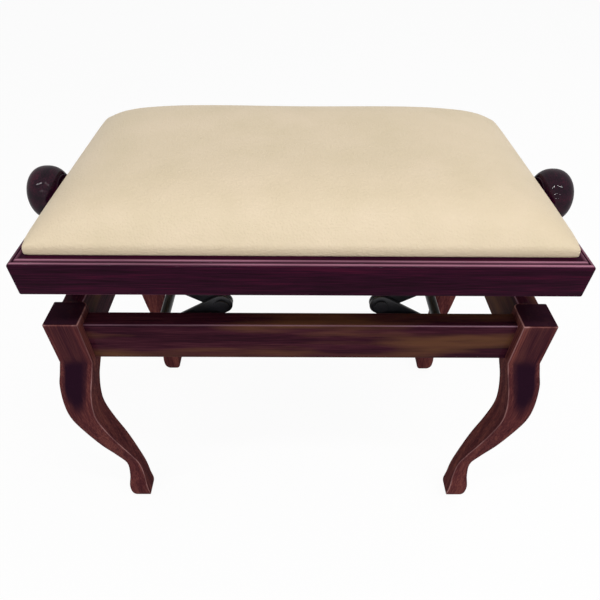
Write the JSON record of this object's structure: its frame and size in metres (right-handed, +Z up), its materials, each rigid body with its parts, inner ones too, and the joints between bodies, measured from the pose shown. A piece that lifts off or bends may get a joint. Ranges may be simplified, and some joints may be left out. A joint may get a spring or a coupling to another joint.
{
  "type": "piano bench",
  "caption": "Upholstered rectangular piano bench on cabriole legs, with a knob-driven screw lift that raises and lowers the seat",
  "frame": {"origin": "On the floor, at the middle of the bench's outline", "axes": "X along the long side, Y from front to back, Z up"},
  "size_m": [0.65, 0.3426, 0.5479],
  "materials": {
    "lacquered_wood": "lacquered",
    "black_steel": "satin_black",
    "bright_steel": "zinc_plated",
    "brass": "turned",
    "plywood": "raw",
    "foam": "foam",
    "leatherette": "smooth"
  },
  "bodies": {
    "base": {"front_left_leg": "lacquered_wood", "front_right_leg": "lacquered_wood", "rear_left_leg": "lacquered_wood", "rear_right_leg": "lacquered_wood", "front_rail": "lacquered_wood", "rear_rail": "lacquered_wood", "left_end_rail": "lacquered_wood", "right_end_rail": "lacquered_wood", "corner_blocks": "lacquered_wood", "leg_bolts": "bright_steel", "lower_brackets": "black_steel", "lower_bracket_screws": "bright_steel"},
    "seat": {"front_seat_rail": "lacquered_wood", "rear_seat_rail": "lacquered_wood", "left_seat_rail": "lacquered_wood", "right_seat_rail": "lacquered_wood", "seat_board": "plywood", "cushion_foam": "foam", "cushion_cover": "leatherette", "left_bush": "brass", "right_bush": "brass", "upper_brackets": "black_steel", "upper_bracket_screws": "bright_steel", "seat_frame_screws": "bright_steel"},
    "screw": {"drive_screw": "bright_steel", "left_knob": "lacquered_wood", "right_knob": "lacquered_wood", "knob_pins": "bright_steel", "screw_collars": "black_steel"},
    "left_lower_arms": {"left_lower_front_arm": "black_steel", "left_lower_rear_arm": "black_steel", "left_lower_shaft": "black_steel", "left_knee_shaft": "black_steel", "left_knee_collars": "black_steel"},
    "left_upper_arms": {"left_upper_front_arm": "black_steel", "left_upper_rear_arm": "black_steel", "left_upper_shaft": "black_steel", "left_fork_levers": "black_steel"},
    "left_nut_block": {"left_nut": "brass"},
    "right_lower_arms": {"right_lower_front_arm": "black_steel", "right_lower_rear_arm": "black_steel", "right_lower_shaft": "black_steel", "right_knee_shaft": "black_steel", "right_knee_collars": "black_steel"},
    "right_upper_arms": {"right_upper_front_arm": "black_steel", "right_upper_rear_arm": "black_steel", "right_upper_shaft": "black_steel", "right_fork_levers": "black_steel"},
    "right_nut_block": {"right_nut": "brass"}
  },
  "joints": [
    {"name": "height_lift", "type": "hinge", "parent": "base", "child": "left_lower_arms", "pos_m": [-0.1685, 0, 0.36], "axis": [0, -1, 0], "range_deg": [-16.7, 18]},
    {"name": "left_knee", "type": "hinge", "parent": "left_lower_arms", "child": "left_upper_arms", "pos_m": [-0.09001, 0, 0.408], "axis": [0, 1, 0], "range_deg": [-33.9, 36.5]},
    {"name": "seat_level", "type": "hinge", "parent": "left_upper_arms", "child": "seat", "pos_m": [-0.1685, 0, 0.456], "axis": [0, -1, 0], "range_deg": [-17, 18.3]},
    {"name": "right_lower_swing", "type": "hinge", "parent": "base", "child": "right_lower_arms", "pos_m": [0.1685, 0, 0.36], "axis": [0, 1, 0], "range_deg": [-17, 18.3]},
    {"name": "right_knee", "type": "hinge", "parent": "right_lower_arms", "child": "right_upper_arms", "pos_m": [0.09001, 0, 0.408], "axis": [0, -1, 0], "range_deg": [-33.9, 36.5]},
    {"name": "left_nut_travel", "type": "slide", "parent": "seat", "child": "left_nut_block", "axis": [1, 0, 0], "range_m": [-0.00712, 0.00765]},
    {"name": "right_nut_travel", "type": "slide", "parent": "seat", "child": "right_nut_block", "axis": [-1, 0, 0], "range_m": [-0.00712, 0.00765]},
    {"name": "screw_spin", "type": "hinge", "parent": "seat", "child": "screw", "pos_m": [0, 0, 0.479], "axis": [1, 0, 0], "range_deg": [-1232.62, 1328.18]}
  ],
  "couplings": [
    {"joint": "left_knee", "follows": "height_lift", "ratio": 2},
    {"joint": "seat_level", "follows": "height_lift", "ratio": 1},
    {"joint": "right_lower_swing", "follows": "height_lift", "ratio": 1},
    {"joint": "right_knee", "follows": "height_lift", "ratio": 2},
    {"joint": "left_nut_travel", "follows": "height_lift", "m_per_rad": 0.0234},
    {"joint": "right_nut_travel", "follows": "height_lift", "m_per_rad": 0.0234},
    {"joint": "screw_spin", "follows": "height_lift", "ratio": 73.51}
  ]
}
